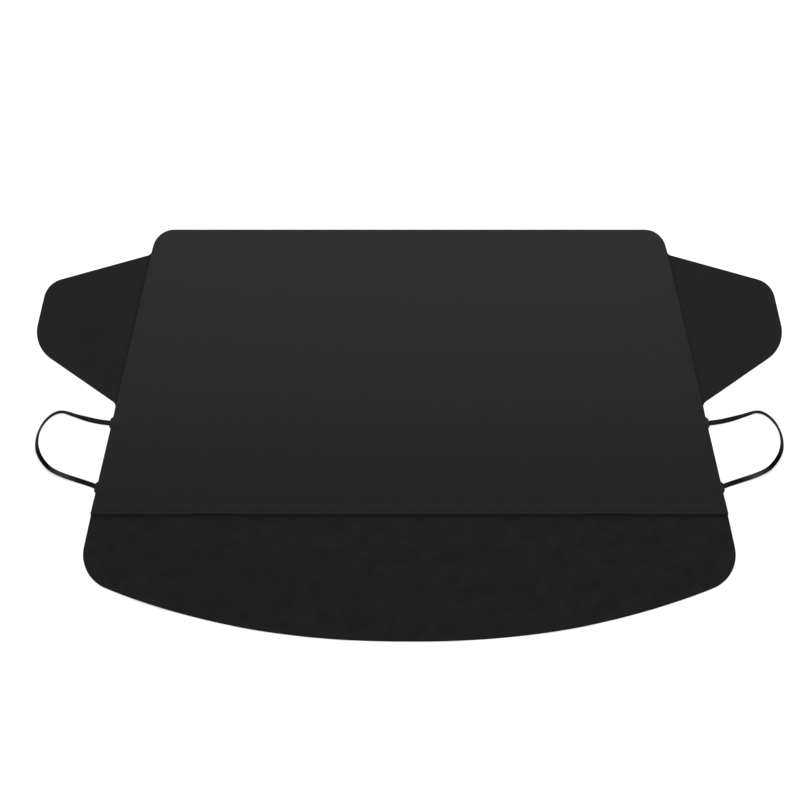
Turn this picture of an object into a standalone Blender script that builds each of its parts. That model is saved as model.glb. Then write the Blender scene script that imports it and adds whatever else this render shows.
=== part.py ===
"""Windshield frost cover, laid flat with its outer side up.

A padded trapezoid panel lies over the glass. A bowed cloth flap hangs from its long edge over the wipers,
a cloth wing on each side is shut in a door, and a flat elastic loop on each side goes round a door mirror.
Wings, flap and loop ends are sewn under the panel's border, which rides up over each of them.

Metres, +Z up. The origin is at the middle of the cover, on the surface that it lies on. +X runs to the
right and +Y to the panel's narrow top edge. Along a slanting side edge of the panel, "run" is the distance
down from its top corner and "out" is the distance square off the edge, away from the panel.
"""

import math

import bmesh
import bpy
from mathutils import Matrix, Vector
from mathutils.geometry import interpolate_bezier

# Panel over the glass
PANEL_TOP_WIDTH = 1.302
PANEL_SEAM_WIDTH = 1.646
PANEL_HEIGHT = 0.735
PANEL_CORNER_RADIUS = 0.057
PANEL_THICKNESS = 0.006

# The panel's border, pressed thin by its stitching, and the slope from it up to the padding
BORDER_THICKNESS = 0.003
BORDER_WIDTH = 0.016
PADDING_SLOPE = 0.012
STITCH_INSET = 0.008
STITCH_WIDTH = 0.002
STITCH_SINK = 0.0006

# What is sewn under the border
SEAM_ALLOWANCE = 0.012
SEAT_MARGIN = 0.002
SEAT_RAMP = 0.006
LAYER_GAP = 0.0003

# Where the side pieces sit along each side edge
WING_TO_TOP = 0.066
WING_TO_LOOP = 0.051
LOOP_SPACING = 0.169
LOOP_TO_SEAM = 0.073

# Wing that is shut in the door
WING_REACH = 0.244
WING_TOP_FALL = 0.133
WING_BOTTOM_RISE = 0.096
WING_TOP_RADIUS = 0.062
WING_BOTTOM_RADIUS = 0.084
WING_ROOT_RADIUS = 0.016
WING_ROOT_FLARE = 0.012
WING_THICKNESS = 0.002

# Flap over the wipers
FLAP_DEPTH = 0.328
FLAP_SIDE_DEPTH = 0.1605
FLAP_SPREAD = 0.0334
FLAP_CORNER_RADIUS = 0.093
FLAP_BOW_POWER = 2.25
FLAP_SIDE_CLEARANCE = 0.003
FLAP_THICKNESS = 0.002

# Elastic loop for the door mirror
ELASTIC_WIDTH = 0.013
ELASTIC_THICKNESS = 0.002
ELASTIC_CORNER = 0.0005
LOOP_REACH = 0.1775
LOOP_TOP_BEND = 0.0575
LOOP_APEX_RUN = 0.074
LOOP_LOW_BEND = 0.041
LOOP_LOW_RISE = 0.0234
LOOP_BEND_PULL = 0.033
LOOP_ROOT_PULL = 0.045
LOOP_ROOT_LEAN = 10.0
LOOP_TOP_TILT = 5.0
LOOP_LOW_HEADING = 56.0

# How far the elastic draws the border's rim out where it comes from under it
RIM_DRAW = 0.005

# How the elastic rolls up on its edge along the loop: (share of the loop's length, degrees from lying flat)
LOOP_ROLL = (
    (0.0, 0), (0.11, 4), (0.22, 44), (0.30, 60), (0.38, 71), (0.465, 81), (0.53, 71),
    (0.59, 49), (0.65, 42), (0.72, 33), (0.80, 20), (0.87, 6), (0.95, 0), (1.0, 0),
)

# How finely the curves are drawn, and the share of an edge that an arc may take up
ARC_STEPS = 9
BOW_STEPS = 26
BEND_STEPS = 12
PADDING_STEPS = 4
ARC_ROOM = 0.98

# Colours seen in the light of the photograph, as linear values
PANEL_COLOUR = (0.028, 0.028, 0.028)
CLOTH_COLOUR = (0.017, 0.017, 0.017)
FLAP_COLOUR = (0.014, 0.014, 0.014)
ELASTIC_COLOUR = (0.016, 0.016, 0.016)

# Worked out from the sizes above
TOP_Y = (PANEL_HEIGHT + FLAP_DEPTH) / 2
SEAM_Y = TOP_Y - PANEL_HEIGHT
SIDE_SPREAD = (PANEL_SEAM_WIDTH - PANEL_TOP_WIDTH) / 2
SIDE_LENGTH = math.hypot(SIDE_SPREAD, PANEL_HEIGHT)
LOOP_LOW_RUN = SIDE_LENGTH - LOOP_TO_SEAM
LOOP_TOP_RUN = LOOP_LOW_RUN - LOOP_SPACING
WING_TOP_RUN = WING_TO_TOP
WING_LOW_RUN = LOOP_TOP_RUN - WING_TO_LOOP
SEAT_DEPTH = SEAM_ALLOWANCE + SEAT_MARGIN
BORDER_END = max(BORDER_WIDTH, SEAT_DEPTH) + PADDING_SLOPE
SEAM_CORNER_ANGLE = math.atan2(PANEL_HEIGHT, SIDE_SPREAD)
ROOT_SHIFT = SEAM_ALLOWANCE * math.tan(math.radians(LOOP_ROOT_LEAN))


def clear_scene():
    for thing in list(bpy.data.objects):
        bpy.data.objects.remove(thing, do_unlink=True)


def material(name, colour, roughness):
    made = bpy.data.materials.new(name)
    made.use_nodes = True
    shader = made.node_tree.nodes["Principled BSDF"]
    shader.inputs["Base Color"].default_value = (*colour, 1)
    shader.inputs["Roughness"].default_value = roughness
    shader.inputs["Metallic"].default_value = 0
    return made


def finish(name, bm, made):
    """Writes the mesh to a named object with its material and smooth rounded edges."""
    mesh = bpy.data.meshes.new(name)
    bm.to_mesh(mesh)
    bm.free()
    mesh.materials.append(made)
    mesh.shade_smooth()
    mesh.set_sharp_from_angle(angle=math.radians(40))
    piece = bpy.data.objects.new(name, mesh)
    bpy.context.scene.collection.objects.link(piece)
    return piece


def at_side(side, run, out):
    """The point at this run and out on the right edge (side 1) or the left edge (side -1)."""
    down, spread = PANEL_HEIGHT / SIDE_LENGTH, SIDE_SPREAD / SIDE_LENGTH
    x = PANEL_TOP_WIDTH / 2 + run * spread + out * down
    y = TOP_Y - run * down + out * spread
    return Vector((side * x, y))


def run_at(point):
    """How far down the nearer side edge the foot of this point lies."""
    down, spread = PANEL_HEIGHT / SIDE_LENGTH, SIDE_SPREAD / SIDE_LENGTH
    return (abs(point.x) - PANEL_TOP_WIDTH / 2) * spread + (TOP_Y - point.y) * down


def between(value, low, high):
    """0 at low, 1 at high, and straight in between."""
    return min(max((value - low) / (high - low), 0.0), 1.0)


def smooth(share):
    """Eases a share from 0 to 1 in and out."""
    return share * share * (3 - 2 * share)


def rounded(corners):
    """The outline through (point, radius) corners, each arc no larger than its two edges have room for."""
    outline = []
    for here, (corner, radius) in enumerate(corners):
        if radius == 0:
            outline.append(corner.copy())
            continue
        neighbours = corners[here - 1], corners[(here + 1) % len(corners)]
        before, after = (point - corner for point, _ in neighbours)
        room = min(
            way.length * radius / (radius + beside)
            for way, (_, beside) in zip((before, after), neighbours)
        )
        turn = math.pi - before.angle(after)
        tangent = min(radius * math.tan(turn / 2), room * ARC_ROOM)
        middle = (before.normalized() + after.normalized()).normalized()
        centre = corner + middle * (tangent / math.sin(turn / 2))
        spoke = corner + before.normalized() * tangent - centre
        across = Vector((-spoke.y, spoke.x)) * math.copysign(1, after.cross(before))
        for step in range(ARC_STEPS + 1):
            angle = turn * step / ARC_STEPS
            outline.append(centre + spoke * math.cos(angle) + across * math.sin(angle))
    return outline


def inset_outline(outline, inset):
    """The same number of points, each moved in so that every edge lies this far inside where it was."""
    moved = []
    for here, point in enumerate(outline):
        before = (point - outline[here - 1]).normalized()
        after = (outline[(here + 1) % len(outline)] - point).normalized()
        inward = Vector((-before.y - after.y, before.x + after.x))
        moved.append(point + inward * inset / (1 + before.dot(after)))
    return moved


def sheet(name, outline, upper, lower, made, drawn=None):
    """A closed sheet. upper and lower list (inset from the outline, height at a point) from the rim inwards.

    drawn moves a point of the ring at some inset out in the plane, if the outline is drawn out of its shape.
    """
    bm = bmesh.new()
    if sum(a.cross(b) for a, b in zip(outline, outline[1:] + outline[:1])) < 0:
        outline = outline[::-1]

    def ring(inset, height):
        points = inset_outline(outline, inset)
        places = [drawn(p, inset) for p in points] if drawn else points
        return [bm.verts.new((place.x, place.y, height(p))) for place, p in zip(places, points)]

    rim = ring(*upper[0])
    for steps, way in ((upper, 1), (lower, -1)):
        outer = rim
        for inset, height in steps[1:]:
            inner = ring(inset, height)
            for k in range(len(rim)):
                bm.faces.new((outer[k - 1], outer[k], inner[k], inner[k - 1])[::way])
            outer = inner
        bm.faces.new(outer[::way])
    return finish(name, bm, made)


def edge_rings(thickness, base):
    """The upper rings and the lower rings of a soft edge, above a base height at each point."""
    upper, lower = [], []
    for inset, rise in ((0.0, 0.0), (0.15, 0.35), (0.5, 0.5)):
        upper.append((inset * thickness, lambda p, r=rise: base(p) + (0.5 + r) * thickness))
        lower.append((inset * thickness, lambda p, r=rise: base(p) + (0.5 - r) * thickness))
    return upper, lower


def loop_seats():
    """The stretch of a side edge, from run to run, that each sewn end of the elastic takes up."""
    half = ELASTIC_WIDTH / 2
    return [
        (LOOP_TOP_RUN - half - ROOT_SHIFT, LOOP_TOP_RUN + half),
        (LOOP_LOW_RUN - half, LOOP_LOW_RUN + half + ROOT_SHIFT),
    ]


def seats():
    """(run, height) down a side edge, where the border rides over the wing, the loop's ends and the flap."""
    under = [
        (WING_TOP_RUN - WING_ROOT_FLARE, WING_LOW_RUN + WING_ROOT_FLARE, WING_THICKNESS),
        *((start, end, ELASTIC_THICKNESS) for start, end in loop_seats()),
    ]
    profile = []
    for start, end, thickness in under:
        lift = thickness + LAYER_GAP
        profile += [
            (start - SEAT_MARGIN - SEAT_RAMP, 0.0),
            (start - SEAT_MARGIN, lift),
            (end + SEAT_MARGIN, lift),
            (end + SEAT_MARGIN + SEAT_RAMP, 0.0),
        ]
    flap_start = SIDE_LENGTH - BORDER_END / math.tan(SEAM_CORNER_ANGLE / 2) - SEAT_MARGIN
    profile += [(flap_start - SEAT_RAMP, 0.0), (flap_start, FLAP_THICKNESS + LAYER_GAP)]
    return profile


def seat_height(point):
    """How high the underside of the border's outer rim lies at this point."""
    run = run_at(point)
    profile = seats()
    if run <= profile[0][0]:
        return 0.0
    for (start, low), (end, high) in zip(profile, profile[1:]):
        if run <= end:
            return low + (high - low) * between(run, start, end)
    return profile[-1][1]


def drawn_out(point, inset):
    """The border's rim, drawn out by the elastic beside each sewn end. It fades out before the stitching."""
    run = run_at(point)
    draw = RIM_DRAW * (1 - between(inset, 0.0, STITCH_INSET - STITCH_WIDTH))
    for start, end in loop_seats():
        near = max(start - SEAT_MARGIN - run, run - end - SEAT_MARGIN)
        if near < SEAT_RAMP:
            shift = at_side(1, 0, draw * (1 - between(near, 0.0, SEAT_RAMP))) - at_side(1, 0, 0)
            return point + Vector((math.copysign(shift.x, point.x), shift.y))
    return point


def padding_height(point, share):
    """The panel's upper side on the slope from the border, at share 0, to the full padding, at share 1."""
    return (seat_height(point) + BORDER_THICKNESS) * (1 - share) + PANEL_THICKNESS * share


def build_main_panel():
    corners = [
        (at_side(1, 0, 0), PANEL_CORNER_RADIUS),
        (at_side(-1, 0, 0), PANEL_CORNER_RADIUS),
        *((at_side(-1, run, 0), 0) for run, _ in seats()),
        (at_side(-1, SIDE_LENGTH, 0), 0),
        (at_side(1, SIDE_LENGTH, 0), 0),
        *((at_side(1, run, 0), 0) for run, _ in reversed(seats())),
    ]
    upper, lower = edge_rings(BORDER_THICKNESS, seat_height)
    for inset, sink in ((-STITCH_WIDTH, 0.0), (0.0, STITCH_SINK), (STITCH_WIDTH, 0.0)):
        upper.append((STITCH_INSET + inset, lambda p, s=sink: seat_height(p) + BORDER_THICKNESS - s))
    for step in range(PADDING_STEPS + 1):
        share = step / PADDING_STEPS
        inset = BORDER_END - PADDING_SLOPE * (1 - share)
        upper.append((inset, lambda p, s=smooth(share): padding_height(p, s)))
    lower += [(SEAT_DEPTH, seat_height), (BORDER_END, lambda p: 0.0)]
    made = material("padded_cloth", PANEL_COLOUR, 0.85)
    return sheet("main_panel", rounded(corners), upper, lower, made, drawn_out)


def build_wing(name, side, made):
    low, high = WING_LOW_RUN, WING_TOP_RUN
    corners = [
        (at_side(side, high - WING_ROOT_FLARE, -SEAM_ALLOWANCE), 0),
        (at_side(side, high - WING_ROOT_FLARE, 0), 0),
        (at_side(side, high, 0), WING_ROOT_RADIUS),
        (at_side(side, high + WING_TOP_FALL, WING_REACH), WING_TOP_RADIUS),
        (at_side(side, low - WING_BOTTOM_RISE, WING_REACH), WING_BOTTOM_RADIUS),
        (at_side(side, low, 0), WING_ROOT_RADIUS),
        (at_side(side, low + WING_ROOT_FLARE, 0), 0),
        (at_side(side, low + WING_ROOT_FLARE, -SEAM_ALLOWANCE), 0),
    ]
    upper, lower = edge_rings(WING_THICKNESS, lambda p: 0.0)
    return sheet(name, rounded(corners), upper, lower, made)


def build_wiper_flap():
    seam_half = PANEL_SEAM_WIDTH / 2
    corner_half = seam_half + FLAP_SPREAD
    bow = FLAP_DEPTH - FLAP_SIDE_DEPTH
    bow_half = corner_half - FLAP_CORNER_RADIUS
    under_half = at_side(1, SIDE_LENGTH - SEAM_ALLOWANCE, 0).x - FLAP_SIDE_CLEARANCE
    right = [
        (Vector((under_half, SEAM_Y + SEAM_ALLOWANCE)), 0),
        (Vector((seam_half - FLAP_SIDE_CLEARANCE / 2, SEAM_Y)), 0),
        (Vector((corner_half, SEAM_Y - FLAP_SIDE_DEPTH)), FLAP_CORNER_RADIUS),
    ]
    bowed = []
    for step in range(BOW_STEPS + 1):
        x = bow_half * (1 - 2 * step / BOW_STEPS)
        drop = FLAP_DEPTH - bow * (abs(x) / corner_half) ** FLAP_BOW_POWER
        bowed.append((Vector((x, SEAM_Y - drop)), 0))
    left = [(Vector((-point.x, point.y)), radius) for point, radius in reversed(right)]
    upper, lower = edge_rings(FLAP_THICKNESS, lambda p: 0.0)
    made = material("flap_cloth", FLAP_COLOUR, 0.9)
    return sheet("wiper_flap", rounded(right + bowed + left), upper, lower, made)


def loop_path():
    """(run, out) points down the middle of the elastic, from its upper sewn end round to its lower one."""
    low_knot = LOOP_SPACING - LOOP_LOW_RISE, LOOP_REACH - LOOP_LOW_BEND
    knots = [
        ((0.0, 0.0), 90 - LOOP_ROOT_LEAN, LOOP_ROOT_PULL),
        ((0.0, LOOP_REACH - LOOP_TOP_BEND), 90 + LOOP_TOP_TILT, LOOP_BEND_PULL),
        ((LOOP_APEX_RUN, LOOP_REACH), 0, LOOP_BEND_PULL),
        (low_knot, -LOOP_LOW_HEADING, LOOP_BEND_PULL),
        ((LOOP_SPACING, 0.0), LOOP_ROOT_LEAN - 90, LOOP_ROOT_PULL),
    ]
    points = [Vector((-ROOT_SHIFT, -SEAM_ALLOWANCE))]
    for (start, start_heading, start_pull), (end, end_heading, end_pull) in zip(knots, knots[1:]):
        leaving = Matrix.Rotation(math.radians(start_heading), 2) @ Vector((start_pull, 0))
        arriving = Matrix.Rotation(math.radians(end_heading), 2) @ Vector((end_pull, 0))
        start, end = Vector(start), Vector(end)
        bend = interpolate_bezier(start, start + leaving, end - arriving, end, BEND_STEPS + 1)
        points += [p.to_2d() for p in bend[:-1]]
    return points + [Vector((LOOP_SPACING, 0)), Vector((LOOP_SPACING + ROOT_SHIFT, -SEAM_ALLOWANCE))]


def roll_at(share):
    """The elastic's roll from lying flat, in radians, eased between the stated shares of the loop."""
    for (start, low), (end, high) in zip(LOOP_ROLL, LOOP_ROLL[1:]):
        if share <= end:
            return math.radians(low + (high - low) * smooth(between(share, start, end)))
    return 0.0


def build_mirror_loop(name, side, made):
    """A flat band swept along the loop. Each section stands on the floor, its outer edge rolled up."""
    half_width, half_thick, corner = ELASTIC_WIDTH / 2, ELASTIC_THICKNESS / 2, ELASTIC_CORNER
    section = [
        (half_width, half_thick - corner),
        (half_width - corner, half_thick),
        (corner - half_width, half_thick),
        (-half_width, half_thick - corner),
        (-half_width, corner - half_thick),
        (corner - half_width, -half_thick),
        (half_width - corner, -half_thick),
        (half_width, corner - half_thick),
    ]
    path = loop_path()
    travelled = [0.0]
    for here, there in zip(path, path[1:]):
        travelled.append(travelled[-1] + (there - here).length)
    free = travelled[-1] - 2 * SEAM_ALLOWANCE
    bm = bmesh.new()
    rings = []
    for here, point in enumerate(path):
        roll = roll_at(between(travelled[here] - SEAM_ALLOWANCE, 0.0, free))
        ahead = path[min(here + 1, len(path) - 1)] - path[max(here - 1, 0)]
        outward = Vector((-ahead.y, ahead.x)).normalized()
        lowest = min(u * math.sin(roll) + v * math.cos(roll) for u, v in section)
        ring = []
        for u, v in section:
            across = u * math.cos(roll) - v * math.sin(roll)
            place = point + outward * across
            spot = at_side(side, LOOP_TOP_RUN + place.x, place.y)
            ring.append(bm.verts.new((spot.x, spot.y, u * math.sin(roll) + v * math.cos(roll) - lowest)))
        rings.append(ring)
    for ring, following in zip(rings, rings[1:]):
        for k in range(len(section)):
            after = (k + 1) % len(section)
            bm.faces.new((ring[k], ring[after], following[after], following[k]))
    bm.faces.new(rings[0][::-1])
    bm.faces.new(rings[-1])
    bmesh.ops.recalc_face_normals(bm, faces=bm.faces)
    return finish(name, bm, made)


def main():
    clear_scene()
    build_main_panel()
    build_wiper_flap()
    wing_cloth = material("wing_cloth", CLOTH_COLOUR, 0.9)
    elastic = material("elastic", ELASTIC_COLOUR, 0.6)
    for word, side in (("left", -1), ("right", 1)):
        build_wing(f"wing_{word}", side, wing_cloth)
        build_mirror_loop(f"mirror_loop_{word}", side, elastic)


main()
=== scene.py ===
# Windshield frost cover laid out flat on a white studio floor and seen from straight above.
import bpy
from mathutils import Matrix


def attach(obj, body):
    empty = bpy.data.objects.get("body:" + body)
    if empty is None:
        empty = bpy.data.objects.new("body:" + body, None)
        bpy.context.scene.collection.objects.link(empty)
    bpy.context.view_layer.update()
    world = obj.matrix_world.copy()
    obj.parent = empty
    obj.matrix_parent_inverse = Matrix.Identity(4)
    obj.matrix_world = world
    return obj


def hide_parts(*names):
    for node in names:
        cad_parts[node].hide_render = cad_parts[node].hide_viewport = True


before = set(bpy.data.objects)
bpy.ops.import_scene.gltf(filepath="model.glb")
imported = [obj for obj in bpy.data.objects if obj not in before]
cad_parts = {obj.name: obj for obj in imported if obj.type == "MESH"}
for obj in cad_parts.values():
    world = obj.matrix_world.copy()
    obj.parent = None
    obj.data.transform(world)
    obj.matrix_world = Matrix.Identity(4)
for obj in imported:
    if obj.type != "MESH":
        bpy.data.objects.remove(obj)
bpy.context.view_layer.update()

import math

import bmesh
import bpy
from mathutils import Matrix, Vector, noise
from mathutils.geometry import delaunay_2d_cdt, interpolate_bezier

print("frame loaded:", ", ".join(sorted(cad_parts)))


class Wire:  # an output socket; operators on it add Math nodes
    def __init__(self, finish, end):
        self.finish, self.end = finish, end

    def math(self, operation, *values):
        return self.finish.node("ShaderNodeMath", {"operation": operation}, values)

    def __add__(self, other):
        return self.math("ADD", self, other)

    def __sub__(self, other):
        return self.math("SUBTRACT", self, other)

    def __rsub__(self, other):
        return self.math("SUBTRACT", other, self)

    def __mul__(self, other):
        return self.math("MULTIPLY", self, other)

    __radd__ = __add__
    __rmul__ = __mul__

    def sine(self):
        return self.math("SINE", self)

    def size(self):  # without its sign
        return self.math("ABSOLUTE", self)

    def over(self, other):  # the larger of the two
        return self.math("MAXIMUM", self, other)

    def under(self, other):
        return self.math("MINIMUM", self, other)

    def clamped(self):  # kept from 0 to 1
        return self.over(0.0).under(1.0)


class Finish:  # a material or world, and the one way that its nodes are made
    def __init__(self, owner):
        owner.use_nodes = True
        self.owner, self.tree = owner, owner.node_tree

    def node(self, kind, settings=None, values=(), outputs=0):
        made = self.tree.nodes.new(kind)
        for key, value in (settings or {}).items():
            setattr(made, key, value)
        for key, value in values.items() if isinstance(values, dict) else enumerate(values):
            self.put(made.inputs[key], value)
        if isinstance(outputs, (list, tuple)):
            return [Wire(self, made.outputs[key]) for key in outputs]
        return Wire(self, made.outputs[outputs])

    def put(self, socket, value):
        if isinstance(value, Wire):
            self.tree.links.new(value.end, socket)
        else:
            socket.default_value = value

    def noise(self, place, scale, detail=2.0, roughness=0.5, distortion=0.0):
        values = {"Vector": place, "Scale": scale, "Detail": detail}
        values.update({"Roughness": roughness, "Distortion": distortion})
        return self.node("ShaderNodeTexNoise", {}, values)

    def mottling(self, place, scale, detail=2.0, roughness=0.5):  # noise about 0
        return self.noise(place, scale, detail, roughness) - 0.5

    def carried(self, name):  # a number that the mesh carries at each point
        return self.node("ShaderNodeAttribute", {"attribute_name": name}, outputs="Fac")

    def mix(self, share, first, second):  # colours
        return self.node("ShaderNodeMix", {"data_type": "RGBA"}, {0: share, 6: first, 7: second}, 2)

    def spread(self, value, low, high, ease="SMOOTHSTEP"):  # goes from 0 at low to 1 at high
        values = {"Value": value, "From Min": low, "From Max": high}
        return self.node("ShaderNodeMapRange", {"interpolation_type": ease}, values)

    def bump(self, height, distance, under=None):
        values = {"Strength": 1.0, "Distance": distance, "Height": height}
        if under:
            values["Normal"] = under
        return self.node("ShaderNodeBump", {}, values)


def grey(level):
    return (level, level, level, 1)


def clothFinish(name):
    finish = Finish(bpy.data.materials.new(name))
    place = finish.node("ShaderNodeTexCoord", outputs="Object")
    return finish, finish.tree.nodes["Principled BSDF"], place


# What every cloth shares. "crossing" is how soon one thread passes over the other.
cloth = {
    "crossing": 0.25, "creaseDetail": 3.0, "creaseGrain": 0.55, "creaseTwist": 0.7,
    "threadMatt": 0.06, "mottleMatt": 0.12,
}
crownMean = 2 / math.pi  # of the weave's height


def weave(finish, place, look):  # a plain weave, 0 in the hollows and 1 on the crowns of the threads
    x, y = finish.node("ShaderNodeSeparateXYZ", {}, [place], (0, 1))
    sway = finish.mottling(place, look["swayScale"]) * look["weaveWander"]
    turns = 2 * math.pi / look["weavePitch"]
    warp, weft = ((x + sway) * turns).sine(), ((y - sway) * turns).sine()
    warpOver = finish.spread(warp * weft, -cloth["crossing"], cloth["crossing"])
    return warp.size() * warpOver + weft.size() * (1 - warpOver)


def clothMottle(finish, place, look):
    return finish.mottling(place, look["mottleScale"], look["mottleDetail"], look["mottleGrain"])


def giveRelief(finish, shader, place, look, threads, mottle):
    creaseForm = cloth["creaseDetail"], cloth["creaseGrain"], cloth["creaseTwist"]
    relief = finish.bump(finish.noise(place, look["creaseScale"], *creaseForm), look["creaseDepth"])
    finish.put(shader.inputs["Normal"], finish.bump(threads, look["weaveDepth"], relief))
    matt = threads * cloth["threadMatt"] + mottle * cloth["mottleMatt"] + look["roughness"]
    finish.put(shader.inputs["Roughness"], matt)
    shader.inputs["Specular IOR Level"].default_value = look["specular"]
    return finish.owner


# The lie of the cover. "run" goes down a slanting side edge from its top corner,
# and "out" goes square off that edge.
cover = {
    "topWidth": 1.302, "seamWidth": 1.646, "height": 0.735, "flapDepth": 0.328,
    "borderWidth": 0.016, "paddingSlope": 0.012,
    "allowance": 0.012, "margin": 0.002, "gap": 0.0003,  # of what is sewn under the panel's border
    "ramp": 0.006, "flapRamp": 0.01,
    "wingToTop": 0.066, "wingToLoop": 0.051, "loopSpacing": 0.169, "loopToSeam": 0.073,
    "wingFlare": 0.012, "clothSpace": 0.002,
    "elasticWidth": 0.013, "elasticThickness": 0.002, "rootLean": 10.0,
}
topY = (cover["height"] + cover["flapDepth"]) / 2
seamY = topY - cover["height"]
sideSpread = (cover["seamWidth"] - cover["topWidth"]) / 2
sideLength = math.hypot(sideSpread, cover["height"])
down, spread = cover["height"] / sideLength, sideSpread / sideLength
loopLowRun = sideLength - cover["loopToSeam"]
loopTopRun = loopLowRun - cover["loopSpacing"]
wingTopRun, wingLowRun = cover["wingToTop"], loopTopRun - cover["wingToLoop"]
borderEnd = cover["borderWidth"] + cover["paddingSlope"]
rootShift = cover["allowance"] * math.tan(math.radians(cover["rootLean"]))


def atSide(side, run, out):  # side is 1 on the right and -1 on the left
    x = cover["topWidth"] / 2 + run * spread + out * down
    return Vector((side * x, topY - run * down + out * spread))


def runAt(point):
    return (abs(point.x) - cover["topWidth"] / 2) * spread + (topY - point.y) * down


def outAt(point):
    return (abs(point.x) - cover["topWidth"] / 2) * down - (topY - point.y) * spread


def between(value, low, high):
    return min(max((value - low) / (high - low), 0.0), 1.0)


def smooth(share):
    return share * share * (3 - 2 * share)


def ripple(point, scale, seed):  # gentle noise from -1 to 1
    return noise.noise(Vector((point.x * scale, point.y * scale, seed)))


def loopSeats():  # from run to run, where each sewn end of the elastic lies under the border
    half = cover["elasticWidth"] / 2
    upper = loopTopRun - half - rootShift, loopTopRun + half
    lower = loopLowRun - half, loopLowRun + half + rootShift
    return [upper, lower]


def seatProfile():  # (run, height) of the border's underside down a side edge
    under = [(wingTopRun - cover["wingFlare"], wingLowRun + cover["wingFlare"], cover["clothSpace"])]
    under += [(start, end, cover["elasticThickness"]) for start, end in loopSeats()]
    profile = []
    for start, end, thick in under:
        start, end, lift = start - cover["margin"], end + cover["margin"], thick + cover["gap"]
        profile += [(start - cover["ramp"], 0.0), (start, lift), (end, lift), (end + cover["ramp"], 0.0)]
    halfCorner = math.atan2(cover["height"], sideSpread) / 2  # between the panel's side and its seam
    flapStart = sideLength - borderEnd / math.tan(halfCorner) - cover["margin"]
    return profile + [(flapStart - cover["ramp"], 0.0), (flapStart, cover["clothSpace"] + cover["gap"])]


seatSteps = seatProfile()


def seatHeight(point):  # of the border's underside: over the flap, or over what is sewn in at this run
    run = runAt(point)
    if point.y - seamY < -outAt(point):
        below = cover["height"] / 2 - (point.y - seamY)  # how far below the panel's middle
        return seatSteps[-1][1] * smooth(between(below, 0.0, cover["flapRamp"]))
    if run <= seatSteps[0][0]:
        return 0.0
    for (start, low), (end, high) in zip(seatSteps, seatSteps[1:]):
        if run <= end:
            return low + (high - low) * smooth(between(run, start, end))
    return seatSteps[-1][1]


def roundedOutline(corners, steps=18, roomShare=0.98):  # through (point, radius) corners
    outline = []
    for here, (corner, radius) in enumerate(corners):
        if radius == 0:
            outline.append(corner.copy())
            continue
        beside = corners[here - 1], corners[(here + 1) % len(corners)]
        before, after = (point - corner for point, _ in beside)
        ways = zip((before, after), beside)
        room = min(way.length * radius / (radius + other) for way, (_, other) in ways)
        turn = math.pi - before.angle(after)
        tangent = min(radius * math.tan(turn / 2), room * roomShare)
        middle = (before.normalized() + after.normalized()).normalized()
        centre = corner + middle * (tangent / math.sin(turn / 2))
        spoke = corner + before.normalized() * tangent - centre
        across = Vector((-spoke.y, spoke.x)) * math.copysign(1, after.cross(before))
        for k in range(steps + 1):
            angle = turn * k / steps
            outline.append(centre + spoke * math.cos(angle) + across * math.sin(angle))
    return outline


def insetOutline(outline, inset, eased=None):
    moved = []
    for here, point in enumerate(outline):
        before = (point - outline[here - 1]).normalized()
        after = (outline[(here + 1) % len(outline)] - point).normalized()
        inward = Vector((-before.y - after.y, before.x + after.x))
        reach = eased(point, inset) if eased else inset
        moved.append(point + inward * reach / (1 + before.dot(after)))
    return moved


def signedArea(outline):
    return sum(a.cross(b) for a, b in zip(outline, outline[1:] + outline[:1])) / 2


class Rings:  # an outline cut into short steps, and its copies at any inset
    # drawn(point, inset) moves a ring's points, and eased(point, inset) gives the inset at a corner.
    def __init__(self, outline, step, drawn=None, eased=None):
        self.outline = outline if signedArea(outline) > 0 else outline[::-1]
        self.area, self.drawn, self.eased = abs(signedArea(outline)), drawn, eased
        edges = list(zip(self.outline, self.outline[1:] + self.outline[:1]))
        self.counts = [max(1, round((b - a).length / step)) for a, b in edges]
        self.along, travelled = [], 0.0
        for (a, b), count in zip(edges, self.counts):
            self.along += [travelled + (b - a).length * k / count for k in range(count)]
            travelled += (b - a).length

    def at(self, inset):
        corners = insetOutline(self.outline, inset, self.eased)
        points = []
        for here, count in enumerate(self.counts):
            a, b = corners[here], corners[(here + 1) % len(corners)]
            points += [a.lerp(b, k / count) for k in range(count)]
        return points

    def lifted(self, inset, height):  # 3-D points of the ring
        points = self.at(inset)
        places = [self.drawn(p, inset) for p in points] if self.drawn else points
        return [Vector((q.x, q.y, height(p, s))) for p, q, s in zip(points, places, self.along)]


def fillInside(bm, rim, spacing, height, way, layer, inset):  # an even field inside the last ring
    flat = [v.co.to_2d() for v in rim]
    low, high = min(p.y for p in flat), max(p.y for p in flat)
    edges = list(zip(flat, flat[1:] + flat[:1]))
    points = []
    rows = max(1, int((high - low) / spacing))
    for row in range(1, rows):
        y = low + (high - low) * row / rows
        crossed = [(a, b) for a, b in edges if (a.y <= y) != (b.y <= y)]
        hits = sorted(a.x + (b.x - a.x) * (y - a.y) / (b.y - a.y) for a, b in crossed)
        for left, right in zip(hits[::2], hits[1::2]):
            count = max(1, int((right - left) / spacing))
            points += [Vector((left + (right - left) * k / count, y)) for k in range(1, count)]
    border, insideOnly, mergeWithin = [list(range(len(flat)))], 1, 1e-7
    found, _, faces, origin, _, _ = delaunay_2d_cdt(flat + points, [], border, insideOnly, mergeWithin)
    verts = []
    for p, sources in zip(found, origin):
        if sources and sources[0] < len(flat):
            verts.append(rim[sources[0]])
        else:
            made = bm.verts.new((p.x, p.y, height(p)))
            made[layer] = inset
            verts.append(made)
    for face in faces:
        corners = [verts[k] for k in face]
        if len(set(corners)) > 2:
            bm.faces.new(corners[::way])


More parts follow.
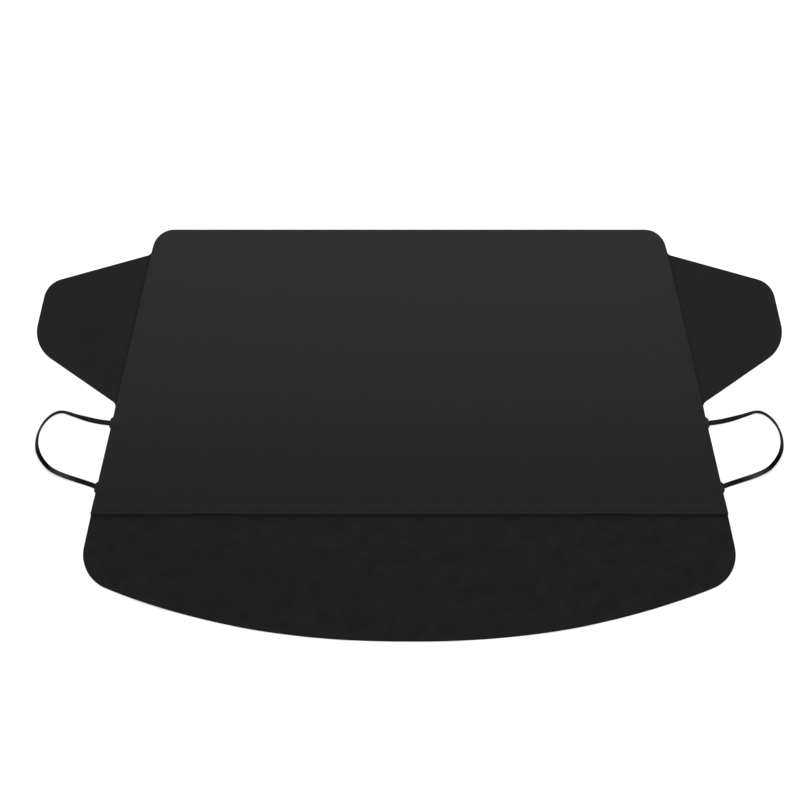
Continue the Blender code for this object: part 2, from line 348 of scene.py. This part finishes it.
# The upper and lower side are lists of (inset, height), from the outline inwards, and the two fills
# give the heights inside their last rings.
def clothSheet(name, rings, upper, lower, fillStep, fills, finish, fromSeam=None):
    bm = bmesh.new()
    layer, seamLayer = bm.verts.layers.float.new("inset"), bm.verts.layers.float.new("seam")

    def ring(inset, height):
        made = [bm.verts.new(p) for p in rings.lifted(inset, height)]
        for v in made:
            v[layer] = inset
        return made

    rim = ring(*upper[0])
    for steps, way, fill in ((upper, 1, fills[0]), (lower, -1, fills[1])):
        outer = rim
        for inset, height in steps[1:]:
            inner = ring(inset, height)
            for k in range(len(rim)):
                bm.faces.new((outer[k - 1], outer[k], inner[k], inner[k - 1])[::way])
            outer = inner
        fillInside(bm, outer, fillStep, fill, way, layer, steps[-1][0])
    for v in bm.verts:
        v[seamLayer] = fromSeam(v.co) if fromSeam else 1.0
    return pieceFrom(name, bm, finish)


def softRim(thick, base, turns):  # the rings round the upper and lower half of a rounded edge
    upper, lower = [], []
    for turn in turns:
        share, rise = 1 - math.cos(math.radians(turn)), math.sin(math.radians(turn))
        upper.append((thick / 2 * share, lambda p, s, r=rise: base(p) + thick / 2 * (1 + r)))
        lower.append((thick / 2 * share, lambda p, s, r=rise: base(p) + thick / 2 * (1 - r)))
    lower.append((thick / 2, lambda p, s: base(p)))
    return upper, lower


def pieceFrom(name, bm, finish):
    mesh = bpy.data.meshes.new(name)
    bm.normal_update()
    bm.to_mesh(mesh)
    bm.free()
    mesh.materials.append(finish)
    mesh.shade_smooth()
    piece = bpy.data.objects.new(name, mesh)
    bpy.context.scene.collection.objects.link(piece)
    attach(piece, "root")
    print(f"{name}: {sum(len(p.vertices) - 2 for p in mesh.polygons)} triangles")
    return piece


# Every stitch is a short thread, bowed up from the cloth and sunk in at its ends.
stitch = {
    "pitch": 0.0042, "length": 0.0033, "radius": 0.00028, "arch": 0.0003, "sides": 6, "rings": 5,
    "endRadius": 0.5, "sunk": 0.4,  # shares of the radius
    "dark": 0.006, "light": 0.02, "midTone": 0.5, "roughness": 0.5, "specular": 0.3,
    "twistScale": 2200.0, "twistDepth": 0.00004, "twistTone": 0.5, "twistMatt": 0.1,
    "tackCount": 20, "tackLean": 0.0004, "tackFrom": -0.0028, "tackTo": -0.0052,
}


def threadFinish():
    finish, shader, place = clothFinish("sewingThread")
    twist = finish.mottling(place, stitch["twistScale"]) * 2
    share = (twist * stitch["twistTone"] + stitch["midTone"]).clamped()
    finish.put(shader.inputs["Base Color"], finish.mix(share, grey(stitch["dark"]), grey(stitch["light"])))
    finish.put(shader.inputs["Roughness"], twist * stitch["twistMatt"] + stitch["roughness"])
    finish.put(shader.inputs["Normal"], finish.bump(twist, stitch["twistDepth"]))
    shader.inputs["Specular IOR Level"].default_value = stitch["specular"]
    return finish.owner


def sewAlong(bm, path, closed=False):  # a row of lockstitches lying on a path
    if closed:
        path = path + path[:1]
    travelled = [0.0]
    for a, b in zip(path, path[1:]):
        travelled.append(travelled[-1] + (b - a).length)
    count = max(1, int(travelled[-1] / stitch["pitch"]))
    pitch, span, last = travelled[-1] / count, 0, stitch["rings"] - 1

    def spot(distance):
        nonlocal span
        while span < len(path) - 2 and travelled[span + 1] < distance:
            span += 1
        share = between(distance, travelled[span], travelled[span + 1])
        return path[span].lerp(path[span + 1], share)

    for k in range(count):
        start = k * pitch + (pitch - stitch["length"]) / 2
        oneStitch(bm, [spot(start + stitch["length"] * j / last) for j in range(last + 1)])


def oneStitch(bm, places):
    ahead = (places[-1] - places[0]).normalized()
    side = Vector((-ahead.y, ahead.x, 0)).normalized()
    lift = ahead.cross(side)
    lift = lift if lift.z > 0 else -lift
    turns = [2 * math.pi * k / stitch["sides"] for k in range(stitch["sides"])]
    rings = []
    for j, place in enumerate(places):
        bow = math.sin(math.pi * j / (len(places) - 1))
        radius = stitch["radius"] * (stitch["endRadius"] + (1 - stitch["endRadius"]) * bow)
        centre = place + lift * (stitch["arch"] * bow - stitch["radius"] * stitch["sunk"])
        spokes = [(side * math.cos(t) + lift * math.sin(t)) * radius for t in turns]
        rings.append([bm.verts.new(centre + spoke) for spoke in spokes])
    for ring, following in zip(rings, rings[1:]):
        for k in range(len(ring)):
            after = (k + 1) % len(ring)
            bm.faces.new((ring[k], following[k], following[after], ring[after]))
    bm.faces.new(rings[0])
    bm.faces.new(rings[-1][::-1])


def tackDown(bm, side, start, end):  # the dense zigzag that holds an end of elastic
    for k in range(stitch["tackCount"]):
        run = start + (end - start) * (k + 0.5) / stitch["tackCount"]
        lean = stitch["tackLean"] if k % 2 else -stitch["tackLean"]
        ends = [atSide(side, run - lean, stitch["tackFrom"]), atSide(side, run + lean, stitch["tackTo"])]
        flat = [ends[0].lerp(ends[1], j / (stitch["rings"] - 1)) for j in range(stitch["rings"])]
        oneStitch(bm, [Vector((p.x, p.y, seatHeight(p) + borderTop(-outAt(p)))) for p in flat])


sewing = threadFinish()

# The padded panel: two cloths over thin padding, its border pressed thin by a row of stitching.
# What ends in "Waves" is the scale and seed of a ripple.
panel = {
    "cornerRadius": 0.057, "thickness": 0.006, "borderThickness": 0.003, "rimTurns": (0, 22, 45, 68),
    "rimDraw": 0.005, "drawShort": 0.002, "step": 0.004, "fillStep": 0.0095,
    "slopeInsets": (0.0016, 0.003, 0.0045, 0.006, 0.007, 0.008, 0.009)
    + (0.0105, 0.0125, 0.015, 0.0175, 0.020, 0.0225, 0.025),
    "stitchInset": 0.008, "stitchSink": 0.00045, "stitchHalf": 0.0021, "puff": 0.0009, "riseLength": 0.032,
    "pucker": 0.00022, "puckerPitch": 0.013, "puckerInset": 0.004, "puckerReach": 0.008,
    "wander": 3.5, "wanderWaves": (30, 7.0), "uneven": 0.6, "unevenWaves": (12, 9.0),
    "swell": 0.0007, "swellWaves": (7, 1.0), "fineSwell": 0.5, "fineSwellWaves": (17, 4.0),
    "calmReach": 0.06,
    "dark": 0.0172, "light": 0.0281, "darkY": -0.20, "lightY": 0.53,
    "paleStep": 0.17, "stepFrom": 0.02, "stepTo": 0.06, "stepWander": 0.14,
    "rimHighlightTone": 0.03, "rimHighlight": 0.08, "rimHighlightWidth": 0.004, "roughness": 0.78, "specular": 0.09,
    "mottle": 0.13, "mottleScale": 38.0, "mottleDetail": 4.0, "mottleGrain": 0.6,
    "weavePitch": 0.0016, "weaveWander": 0.0012, "swayScale": 30.0, "weaveDepth": 0.00012,
    "weaveShade": 0.10, "hollowShade": 0.3, "hollowShadeTone": 0.004, "creaseScale": 26.0, "creaseDepth": 0.0004,
}


def paddedFinish():
    finish, shader, place = clothFinish("paddedCloth")
    threads = weave(finish, place, panel)
    mottle = clothMottle(finish, place, panel)
    y = finish.node("ShaderNodeSeparateXYZ", {}, [place], 1)
    # The cloth is painted paler towards the top, a painted sheen of the light from above, with a faint
    # step across its middle.
    paintedSheen = finish.spread(y, panel["darkY"], panel["lightY"], "LINEAR")
    stepped = finish.spread(y + mottle * panel["stepWander"], panel["stepFrom"], panel["stepTo"])
    share = paintedSheen * (1 - panel["paleStep"]) + stepped * panel["paleStep"]
    # Painted shade in the weave: the crowns of the threads lighter and the hollows between them darker.
    share = share + mottle * panel["mottle"] + (threads - crownMean) * panel["weaveShade"]
    shade = finish.mix(share.clamped(), grey(panel["dark"]), grey(panel["light"]))
    shade = finish.mix((1 - threads) * panel["hollowShade"], shade, grey(panel["hollowShadeTone"]))
    # A painted highlight along the rim, where its rounded edge catches the light.
    rimHighlight = (1 - finish.spread(finish.carried("inset"), 0.0, panel["rimHighlightWidth"])) * panel["rimHighlight"]
    finish.put(shader.inputs["Base Color"], finish.mix(rimHighlight, shade, grey(panel["rimHighlightTone"])))
    return giveRelief(finish, shader, place, panel, threads, mottle)


def drawnOut(point, inset):  # the elastic draws the rim out a little beside each sewn end
    run = runAt(point)
    draw = panel["rimDraw"] * (1 - between(inset, 0.0, panel["stitchInset"] - panel["drawShort"]))
    for start, end in loopSeats():
        near = max(start - cover["margin"] - run, run - end - cover["margin"])
        if near < cover["ramp"]:
            shift = atSide(1, 0, draw * (1 - smooth(between(near, 0.0, cover["ramp"])))) - atSide(1, 0, 0)
            return point + Vector((math.copysign(shift.x, point.x), shift.y))
    return point


def panelDepth(point):  # how far inside the panel's edges a point lies
    return min(-outAt(point), topY - point.y, point.y - seamY)


def panelSwell(point):
    calm = smooth(between(panelDepth(point), borderEnd, borderEnd + panel["calmReach"]))
    broad, fine = ripple(point, *panel["swellWaves"]), ripple(point, *panel["fineSwellWaves"])
    return panel["swell"] * calm * (broad + panel["fineSwell"] * fine)


def borderTop(inset):  # a rounded rim, the groove of the stitching, and a long soft rise to the padding
    thick, reach = panel["borderThickness"], panel["stitchInset"]
    groove = panel["stitchSink"] * math.exp(-(((inset - reach) / panel["stitchHalf"]) ** 2))
    puff = panel["puff"] * math.sin(math.pi / 2 * between(inset, 0.0, reach / 2))
    rise = 1 - math.exp(-max(inset - reach, 0.0) / panel["riseLength"])
    return thick + puff - groove + (panel["thickness"] - thick - puff) * rise


def puckered(point, along, inset):  # small gathers square to the stitching
    calm = math.exp(-(((inset - panel["stitchInset"] - panel["puckerInset"]) / panel["puckerReach"]) ** 2))
    wander = panel["wander"] * ripple(point, *panel["wanderWaves"])
    beat = math.sin(2 * math.pi * along / panel["puckerPitch"] + wander)
    return panel["pucker"] * calm * beat * panel["uneven"] * (1 + ripple(point, *panel["unevenWaves"]))


def panelUpper(inset):
    def height(point, along):
        seat = seatHeight(point) * (1 - smooth(between(inset, cover["borderWidth"], borderEnd)))
        return seat + borderTop(inset) + puckered(point, along, inset) + panelSwell(point)
    return height


def buildPanel():
    corners = [(atSide(1, 0, 0), panel["cornerRadius"]), (atSide(-1, 0, 0), panel["cornerRadius"])]
    corners += [(atSide(-1, run, 0), 0) for run, _ in seatSteps] + [(atSide(-1, sideLength, 0), 0)]
    corners += [(atSide(1, sideLength, 0), 0)] + [(atSide(1, run, 0), 0) for run, _ in reversed(seatSteps)]
    rings = Rings(roundedOutline(corners), panel["step"], drawnOut)
    upper, lower = softRim(panel["borderThickness"], seatHeight, panel["rimTurns"])
    upper += [(inset, panelUpper(inset)) for inset in (*panel["slopeInsets"], borderEnd)]
    lower.append((cover["allowance"] + cover["margin"], lambda p, s: seatHeight(p)))
    lower.append((borderEnd, lambda p, s: 0.0))
    fills = lambda p: borderTop(panelDepth(p)) + panelSwell(p), lambda p: 0.0
    piece = clothSheet("mainPanel", rings, upper, lower, panel["fillStep"], fills, paddedFinish())
    bm = bmesh.new()
    sewAlong(bm, rings.lifted(panel["stitchInset"], panelUpper(panel["stitchInset"])), closed=True)
    for side in (-1, 1):
        for start, end in loopSeats():
            tackDown(bm, side, start, end)
    thread = pieceFrom("panelThread", bm, sewing)
    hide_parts("main_panel")
    return piece, thread, (cover["seamWidth"], cover["height"]), rings.area


mainPanel = buildPanel()


def singleFinish(name, look):  # with a painted shadow where the cloth runs under the panel's edge
    finish, shader, place = clothFinish(name)
    threads = weave(finish, place, look)
    mottle = clothMottle(finish, place, look)
    # Painted shade in the weave: the crowns of the threads lighter and the hollows between them darker.
    share = mottle * look["mottle"] + (threads - crownMean) * look["weaveShade"] + look["midTone"]
    shade = finish.mix(share.clamped(), grey(look["dark"]), grey(look["light"]))
    shade = finish.mix((1 - threads) * look["hollowShade"], shade, grey(look["hollowShadeTone"]))
    # A painted shadow of the panel's raised edge, falling on the cloth beside the seam.
    out = finish.carried("seam") + mottle * look["seamWander"]
    seamShadow = (1 - finish.spread(out, look["seamNear"], look["seamFar"])) * look["seamShadowDepth"]
    finish.put(shader.inputs["Base Color"], finish.mix(seamShadow, shade, grey(look["seamShadowTone"])))
    return giveRelief(finish, shader, place, look, threads, mottle)


# What the single cloths share: they leave the seam flat, lie in soft waves, and end in a turned hem.
# The groove is measured from the stitching, and the rest of the hem from its inner edge.
single = {
    "flatTo": 0.008, "waveLevel": 0.6, "broadWave": 1.3, "fineWave": 0.6, "fineSeed": 3,
    "rimTurns": (0, 30, 60), "edgeRing": 0.003, "farInside": 1.0,
    "grooveHalf": 0.0013, "grooveRings": (-0.002, -0.001, 0.0, 0.001),
    "hemFrom": -0.001, "hemTo": 0.0015, "hemRings": (0.0005, 0.002),
}


def singleSheet(name, look, finish, outline, fromSeam, seed, eased=None):
    rings = Rings(outline, look["step"], eased=eased)
    thick, hemWidth, stitched = look["thickness"], look["hemWidth"], look["hemStitch"]

    def free(point):
        return smooth(between(fromSeam(point), single["flatTo"], look["calmReach"]))

    def lift(point):  # it lies on the floor in places and stands off it in soft waves between them
        broad = single["broadWave"] * ripple(point, look["waveScale"], seed)
        fine = single["fineWave"] * ripple(point, look["fineWaveScale"], seed + single["fineSeed"])
        return look["wave"] * free(point) * max(single["waveLevel"] + broad + fine, 0.0) ** 2

    def top(inset):
        groove = look["stitchSink"] * math.exp(-(((inset - stitched) / single["grooveHalf"]) ** 2))
        hem = 1 - smooth(between(inset, hemWidth + single["hemFrom"], hemWidth + single["hemTo"]))
        return lambda p, s=0: lift(p) + look["single"] + (thick - look["single"]) * hem - groove * free(p)

    upper, lower = softRim(thick, lift, single["rimTurns"])
    insets = [thick / 2, single["edgeRing"]] + [stitched + ring for ring in single["grooveRings"]]
    for inset in insets + [hemWidth + ring for ring in single["hemRings"]]:
        upper.append((inset, top(inset)))
    lower.append((hemWidth, lambda p, s: lift(p)))
    fills = top(single["farInside"]), lift
    piece = clothSheet(name, rings, upper, lower, look["fillStep"], fills, finish, fromSeam)
    return piece, rings.lifted(stitched, top(stitched)), rings.area


def hemThread(name, path, shown):  # stitches on the part of the hem that shows
    first = next(k for k in range(len(path)) if shown(path[k]) and not shown(path[k - 1]))
    bm = bmesh.new()
    sewAlong(bm, [p for p in path[first:] + path[:first] if shown(p)])
    return pieceFrom(name, bm, sewing)


# A wing on each side, shut in the door.
wing = {
    "reach": 0.244, "topFall": 0.133, "bottomRise": 0.096,
    "topRadius": 0.062, "bottomRadius": 0.084, "rootRadius": 0.016, "step": 0.004, "fillStep": 0.008,
    "thickness": 0.0018, "single": 0.0015, "hemWidth": 0.011, "hemStitch": 0.009, "stitchSink": 0.00022,
    "hemStart": 0.012, "sewnInset": 0.002, "shownFrom": 0.008,
    "wave": 0.0013, "waveScale": 8, "fineWaveScale": 19, "waveSeed": 20, "calmReach": 0.07,
    "dark": 0.0143, "light": 0.0184, "midTone": 0.5, "roughness": 0.82, "specular": 0.08,
    "mottle": 0.55, "mottleScale": 45.0, "mottleDetail": 5.0, "mottleGrain": 0.65,
    "seamNear": 0.001, "seamFar": 0.009, "seamWander": 0.004, "seamShadowDepth": 0.25, "seamShadowTone": 0.006,
    "weavePitch": 0.0014, "weaveWander": 0.0010, "swayScale": 34.0, "weaveDepth": 0.0001,
    "weaveShade": 0.5, "hollowShade": 0.3, "hollowShadeTone": 0.004, "creaseScale": 22.0, "creaseDepth": 0.0004,
}


def hemReach(point, inset):  # the hem ends at the panel, and what is sewn under it keeps its raw edge
    share, calm = smooth(between(outAt(point), 0.0, wing["hemStart"])), wing["sewnInset"]
    return inset * share + calm * (1 - math.exp(-inset / calm)) * (1 - share)


def buildWing(word, side, finish):
    low, high, flare, under = wingLowRun, wingTopRun, cover["wingFlare"], -cover["allowance"]
    reach, begun = wing["reach"], wing["hemStart"] / wing["reach"]
    corners = [
        (atSide(side, high - flare, under), 0), (atSide(side, high - flare, 0), 0),
        (atSide(side, high, 0), wing["rootRadius"]),
        (atSide(side, high + wing["topFall"] * begun, reach * begun), 0),
        (atSide(side, high + wing["topFall"], reach), wing["topRadius"]),
        (atSide(side, low - wing["bottomRise"], reach), wing["bottomRadius"]),
        (atSide(side, low - wing["bottomRise"] * begun, reach * begun), 0),
        (atSide(side, low, 0), wing["rootRadius"]),
        (atSide(side, low + flare, 0), 0), (atSide(side, low + flare, under), 0),
    ]
    outline = roundedOutline(corners)
    seed = wing["waveSeed"] + side
    piece, path, area = singleSheet(f"wing{word}", wing, finish, outline, outAt, seed, hemReach)
    thread = hemThread(f"wing{word}Thread", path, lambda p: outAt(p) > wing["shownFrom"])
    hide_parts(f"wing_{word.lower()}")
    return piece, thread, (wing["reach"] + cover["allowance"], low - high + 2 * flare), area


wingFinish = singleFinish("wingCloth", wing)
wings = [buildWing("Left", -1, wingFinish), buildWing("Right", 1, wingFinish)]

# The bowed flap over the wipers.
flap = {
    "sideDepth": 0.1605, "spread": 0.0334, "cornerRadius": 0.093, "bowPower": 2.25, "bowSteps": 64,
    "sideClearance": 0.003, "step": 0.0045, "fillStep": 0.0115,
    "thickness": 0.0018, "single": 0.0015, "hemWidth": 0.013, "hemStitch": 0.011, "stitchSink": 0.00022,
    "shownFrom": 0.004,
    "wave": 0.0013, "waveScale": 6, "fineWaveScale": 15, "waveSeed": 31, "calmReach": 0.09,
    "dark": 0.0091, "light": 0.0186, "midTone": 0.5, "roughness": 0.85, "specular": 0.07,
    "mottle": 1.5, "mottleScale": 24.0, "mottleDetail": 5.0, "mottleGrain": 0.65,
    "seamNear": 0.001, "seamFar": 0.020, "seamWander": 0.010, "seamShadowDepth": 0.33, "seamShadowTone": 0.002,
    "weavePitch": 0.0015, "weaveWander": 0.0011, "swayScale": 28.0, "weaveDepth": 0.0001,
    "weaveShade": 0.5, "hollowShade": 0.3, "hollowShadeTone": 0.003, "creaseScale": 18.0, "creaseDepth": 0.0005,
}


def buildFlap():
    seamHalf, depth = cover["seamWidth"] / 2, cover["flapDepth"]
    cornerHalf = seamHalf + flap["spread"]
    bow, bowHalf = depth - flap["sideDepth"], cornerHalf - flap["cornerRadius"]
    underHalf = atSide(1, sideLength - cover["allowance"], 0).x - flap["sideClearance"]
    right = [
        (Vector((underHalf, seamY + cover["allowance"])), 0),
        (Vector((seamHalf - flap["sideClearance"] / 2, seamY)), 0),
        (Vector((cornerHalf, seamY - flap["sideDepth"])), flap["cornerRadius"]),
    ]
    bowed = []
    for k in range(flap["bowSteps"] + 1):
        x = bowHalf * (1 - 2 * k / flap["bowSteps"])
        bowed.append((Vector((x, seamY - depth + bow * (abs(x) / cornerHalf) ** flap["bowPower"])), 0))
    left = [(Vector((-p.x, p.y)), radius) for p, radius in reversed(right)]
    outline, finish = roundedOutline(right + bowed + left), singleFinish("flapCloth", flap)
    fromSeam = lambda p: seamY - p.y
    piece, path, area = singleSheet("wiperFlap", flap, finish, outline, fromSeam, flap["waveSeed"])
    thread = hemThread("flapThread", path, lambda p: p.y < seamY - flap["shownFrom"])
    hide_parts("wiper_flap")
    return piece, thread, (2 * cornerHalf, depth + cover["allowance"]), area


wiperFlap = buildFlap()

# The elastic loops: flat woven bands, rolled up on edge round the bend. "roll" is in degrees at shares
# of the band's length. "sleek" and "shaded" are stretches: where one grows, where it fades, how strong.
loop = {
    "cords": 9, "cordDepth": 0.0001, "cordFacets": 5, "crowded": 0.25, "edge": 0.0007,
    "reach": 0.1775, "topBend": 0.0575, "apexRun": 0.074, "lowBend": 0.041, "lowRise": 0.0234, "steps": 40,
    "bendPull": 0.033, "rootPull": 0.045, "topTilt": 5.0, "lowHeading": 56.0, "endShare": 0.99,
    "roll": [(0, 0), (0.11, 4), (0.22, 44), (0.30, 60), (0.38, 71), (0.465, 81), (0.53, 71)]
    + [(0.59, 49), (0.65, 42), (0.72, 33), (0.80, 20), (0.87, 6), (0.95, 0), (1, 0)],
    "dark": 0.0027, "light": 0.0086, "midTone": 0.4, "roughness": 0.55, "specular": 0.09,
    "pickPitch": 0.0011, "cordPitch": 0.00289, "knitTone": 0.35, "knitDepth": 0.00003, "knitMatt": 0.08,
    "mottle": 0.3, "mottleScale": 60.0, "mottleDetail": 4.0, "mottleGrain": 0.6, "mottleMatt": 0.15,
    "sleek": ((0.70, 0.76), (0.84, 0.88), 0.27), "shadedTone": 0.0015, "spotWander": 0.03,
    "shaded": [((0.56, 0.62), (0.67, 0.72), 0.85), ((0.83, 0.87), (0.91, 0.95), 0.4)],
}


def stretch(finish, spot, rise, fall, strength):  # grows and fades again along the band
    return finish.spread(spot, *rise) * (1 - finish.spread(spot, *fall)) * strength


def elasticFinish():
    finish, shader, place = clothFinish("wovenElastic")
    picks = (finish.carried("along") * (2 * math.pi / loop["pickPitch"])).sine()  # the weft
    cords = (finish.carried("across") * (2 * math.pi / loop["cordPitch"])).sine()
    knit = picks * cords * 0.5 + 0.5
    mottle = clothMottle(finish, place, loop)
    share = knit * loop["knitTone"] + mottle * loop["mottle"] + loop["midTone"]
    shade = finish.mix(share.clamped(), grey(loop["dark"]), grey(loop["light"]))
    finish.put(shader.inputs["Base Color"], shade)
    spot = finish.carried("round") + mottle * loop["spotWander"]
    sleek = stretch(finish, spot, *loop["sleek"])
    matt = mottle * loop["mottleMatt"] + knit * loop["knitMatt"] + loop["roughness"]
    finish.put(shader.inputs["Roughness"], matt - sleek)
    finish.put(shader.inputs["Normal"], finish.bump(knit, loop["knitDepth"]))
    shader.inputs["Specular IOR Level"].default_value = loop["specular"]
    # The shaded stretches mix in a dark matt shader: painted shade where the band turns away from the
    # light.
    shaded = sum(stretch(finish, spot, *part) for part in loop["shaded"])
    values = {"Base Color": grey(loop["shadedTone"]), "Roughness": 1.0, "Specular IOR Level": 0.0}
    paintedShade = finish.node("ShaderNodeBsdfPrincipled", {}, values, "BSDF")
    both = finish.node("ShaderNodeMixShader", {}, [shaded, Wire(finish, shader.outputs["BSDF"]), paintedShade])
    finish.put(finish.tree.nodes["Material Output"].inputs["Surface"], both)
    return finish.owner


def loopPath():  # the band's middle line, as (run, out) from its upper end
    spacing, allowance, reach = cover["loopSpacing"], cover["allowance"], loop["reach"]
    rootPull, bendPull, endShare = loop["rootPull"], loop["bendPull"], loop["endShare"]
    knots = [  # place, heading in degrees, and the pull of its handles
        ((0.0, 0.0), 90 - cover["rootLean"], rootPull),
        ((0.0, reach - loop["topBend"]), 90 + loop["topTilt"], bendPull),
        ((loop["apexRun"], reach), 0, bendPull),
        ((spacing - loop["lowRise"], reach - loop["lowBend"]), -loop["lowHeading"], bendPull),
        ((spacing, 0.0), cover["rootLean"] - 90, rootPull),
    ]
    points = [Vector((-rootShift, -allowance)) * endShare, Vector((-rootShift, -allowance)) / 2]
    for (start, startHeading, startPull), (end, endHeading, endPull) in zip(knots, knots[1:]):
        leaving = Matrix.Rotation(math.radians(startHeading), 2) @ Vector((startPull, 0))
        arriving = Matrix.Rotation(math.radians(endHeading), 2) @ Vector((endPull, 0))
        start, end = Vector(start), Vector(end)
        bend = interpolate_bezier(start, start + leaving, end - arriving, end, loop["steps"] + 1)
        points += [p.to_2d() for p in bend[:-1]]
    low, away = Vector((spacing, 0)), Vector((rootShift, -allowance))
    return points + [low, low + away / 2, low + away * endShare]


def rollAt(share):
    for (start, low), (end, high) in zip(loop["roll"], loop["roll"][1:]):
        if share <= end:
            return math.radians(low + (high - low) * smooth(between(share, start, end)))
    return 0.0


def bandSection():  # round the band: corded faces and rounded selvedges
    half, thick = cover["elasticWidth"] / 2, cover["elasticThickness"] / 2
    crowded, count = loop["crowded"], loop["cords"] * loop["cordFacets"]
    face = []
    for k in range(count + 1):
        u = half * math.cos(math.pi * k / count) * crowded + half * (1 - 2 * k / count) * (1 - crowded)
        edge = between(half - abs(u), 0.0, loop["edge"])
        cord = 0.5 - 0.5 * math.cos(math.pi * loop["cords"] * (u + half) / half)
        face.append((u, (thick - loop["cordDepth"] * (1 - cord)) * math.sqrt(max(edge * (2 - edge), 0.0))))
    return face + [(u, -v) for u, v in reversed(face[1:-1])]


def buildLoop(word, side, finish):
    path, section, allowance = loopPath(), bandSection(), cover["allowance"]
    travelled = [0.0]
    for a, b in zip(path, path[1:]):
        travelled.append(travelled[-1] + (b - a).length)
    whole = travelled[-1]
    bm = bmesh.new()
    layers = [bm.verts.layers.float.new(name) for name in ("along", "across", "round")]
    rings = []
    for here, point in enumerate(path):
        roll = rollAt(between(travelled[here] - allowance, 0.0, whole - 2 * allowance))
        ahead = path[min(here + 1, len(path) - 1)] - path[max(here - 1, 0)]
        outward = Vector((-ahead.y, ahead.x)).normalized()
        lowest = min(u * math.sin(roll) + v * math.cos(roll) for u, v in section)
        ring = []
        for u, v in section:
            place = point + outward * (u * math.cos(roll) - v * math.sin(roll))
            spot = atSide(side, loopTopRun + place.x, place.y)
            made = bm.verts.new((spot.x, spot.y, u * math.sin(roll) + v * math.cos(roll) - lowest))
            for layer, value in zip(layers, (travelled[here], u, travelled[here] / whole)):
                made[layer] = value
            ring.append(made)
        rings.append(ring)
    for ring, following in zip(rings, rings[1:]):
        for k in range(len(section)):
            after = (k + 1) % len(section)
            bm.faces.new((ring[k], ring[after], following[after], following[k]))
    bm.faces.new(rings[0][::-1])
    bm.faces.new(rings[-1])
    bmesh.ops.recalc_face_normals(bm, faces=bm.faces)
    piece = pieceFrom(f"mirrorLoop{word}", bm, finish)
    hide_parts(f"mirror_loop_{word.lower()}")


elastic = elasticFinish()
buildLoop("Left", -1, elastic)
buildLoop("Right", 1, elastic)

# The floor, the light and a camera that looks straight down, framed as the picture is.
studio = {
    "floorSize": 16.0, "floorSquares": 4, "floorDrop": 0.0002, "floorTone": 0.80, "floorLift": 0.42,
    "floorRoughness": 0.9, "floorSpecular": 0.1, "farFrom": 2.0, "farTo": 5.0, "farLift": 1.5,
    "skyLevel": 0.50, "keyPlace": (0.35, 3.4, 4.4), "keySize": 2.6, "keyPower": 190.0,
    "lens": 85.0, "pictureWidth": 800, "metresPerPixel": 0.00258,
    "pictureMiddle": 399.5, "coverMiddle": (408.9, 435.1),  # in pixels
}


def seenRays(finish):  # 1 where the camera sees it, or sees it in gloss or through something clear
    camera, glossy, clear = finish.node(
        "ShaderNodeLightPath", outputs=("Is Camera Ray", "Is Glossy Ray", "Is Transmission Ray")
    )
    return camera.over(glossy).over(clear)


def buildFloor():
    bm = bmesh.new()
    squares = studio["floorSquares"]
    bmesh.ops.create_grid(bm, x_segments=squares, y_segments=squares, size=studio["floorSize"] / 2)
    mesh = bpy.data.meshes.new("floor")
    bm.to_mesh(mesh)
    bm.free()
    finish = Finish(bpy.data.materials.new("studioFloor"))
    shader = finish.tree.nodes["Principled BSDF"]
    shader.inputs["Base Color"].default_value = grey(studio["floorTone"])
    shader.inputs["Roughness"].default_value = studio["floorRoughness"]
    shader.inputs["Specular IOR Level"].default_value = studio["floorSpecular"]
    place = finish.node("ShaderNodeTexCoord", outputs="Object")
    away = finish.node("ShaderNodeVectorMath", {"operation": "LENGTH"}, [place], "Value")
    # It stays white where the lamp no longer reaches.
    far = finish.spread(away, studio["farFrom"], studio["farTo"])
    finish.put(shader.inputs["Emission Color"], finish.mix(far, grey(1.0), grey(studio["farLift"])))
    finish.put(shader.inputs["Emission Strength"], seenRays(finish) * studio["floorLift"])
    mesh.materials.append(finish.owner)
    floor = bpy.data.objects.new("floor", mesh)
    bpy.context.scene.collection.objects.link(floor)
    floor.location.z = -studio["floorDrop"]


def buildSky():
    sky = Finish(bpy.data.worlds.new("studioSky"))
    bpy.context.scene.world = sky.owner
    shader = sky.tree.nodes["Background"]
    shader.inputs["Color"].default_value = grey(1.0)
    sky.put(shader.inputs["Strength"], seenRays(sky) * (1 - studio["skyLevel"]) + studio["skyLevel"])


def buildLamp():
    lamp = bpy.data.lights.new("keyLamp", "AREA")
    lamp.shape, lamp.size, lamp.energy = "SQUARE", studio["keySize"], studio["keyPower"]
    key = bpy.data.objects.new("keyLamp", lamp)
    key.location = studio["keyPlace"]
    key.rotation_euler = (-Vector(studio["keyPlace"])).to_track_quat("-Z", "Y").to_euler()
    bpy.context.scene.collection.objects.link(key)


def buildCamera():
    camera = bpy.data.objects.new("camera", bpy.data.cameras.new("camera"))
    camera.data.lens = studio["lens"]
    scale = studio["metresPerPixel"]
    right, lower = (at - studio["pictureMiddle"] for at in studio["coverMiddle"])
    away = studio["pictureWidth"] * scale * studio["lens"] / camera.data.sensor_width
    camera.location = (-right * scale, lower * scale, away)
    bpy.context.scene.collection.objects.link(camera)
    bpy.context.scene.camera = camera


buildFloor()
buildSky()
buildLamp()
buildCamera()
bpy.context.scene.view_settings.view_transform = "Standard"
print("floor, light and camera ready")
